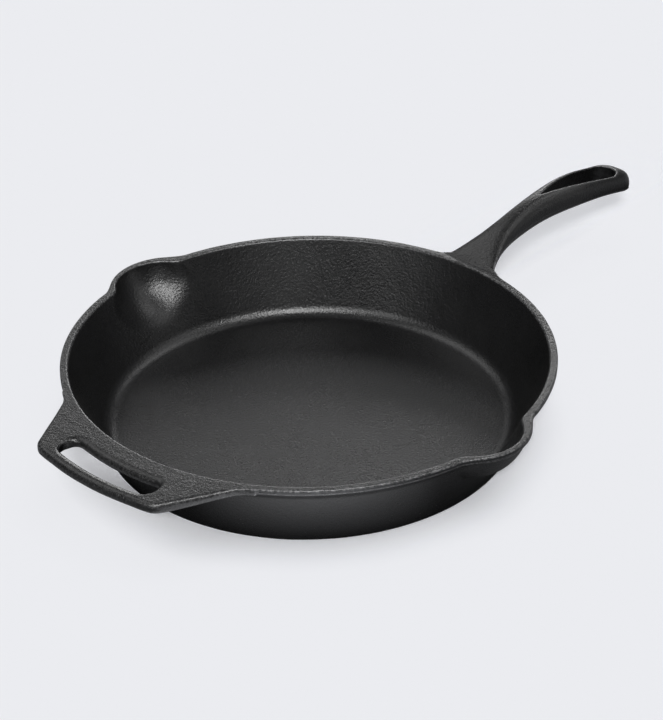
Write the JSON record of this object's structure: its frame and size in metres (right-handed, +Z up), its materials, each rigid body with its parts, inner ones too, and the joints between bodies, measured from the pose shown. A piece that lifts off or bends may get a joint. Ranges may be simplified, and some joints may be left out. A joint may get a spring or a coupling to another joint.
{
  "type": "cast iron skillet",
  "caption": "Round cast iron skillet with leaning walls, a pouring lip on each side, an arched long handle with a hanging hole and a slotted helper handle.",
  "frame": {"origin": "centre of the flat base, on the surface that the skillet stands on", "axes": "+X along the long handle, +Y towards the left pouring lip seen from the helper handle, +Z up"},
  "size_m": [0.4884, 0.323, 0.0734],
  "materials": {
    "iron": "seasoned, satin, fine sand-cast grain"
  },
  "bodies": {
    "root": {"pan_floor": "iron", "handle_side_wall": "iron", "helper_side_wall": "iron", "handle_side_rim": "iron", "helper_side_rim": "iron", "left_spout": "iron", "right_spout": "iron", "long_handle": "iron", "helper_handle": "iron"}
  },
  "joints": []
}
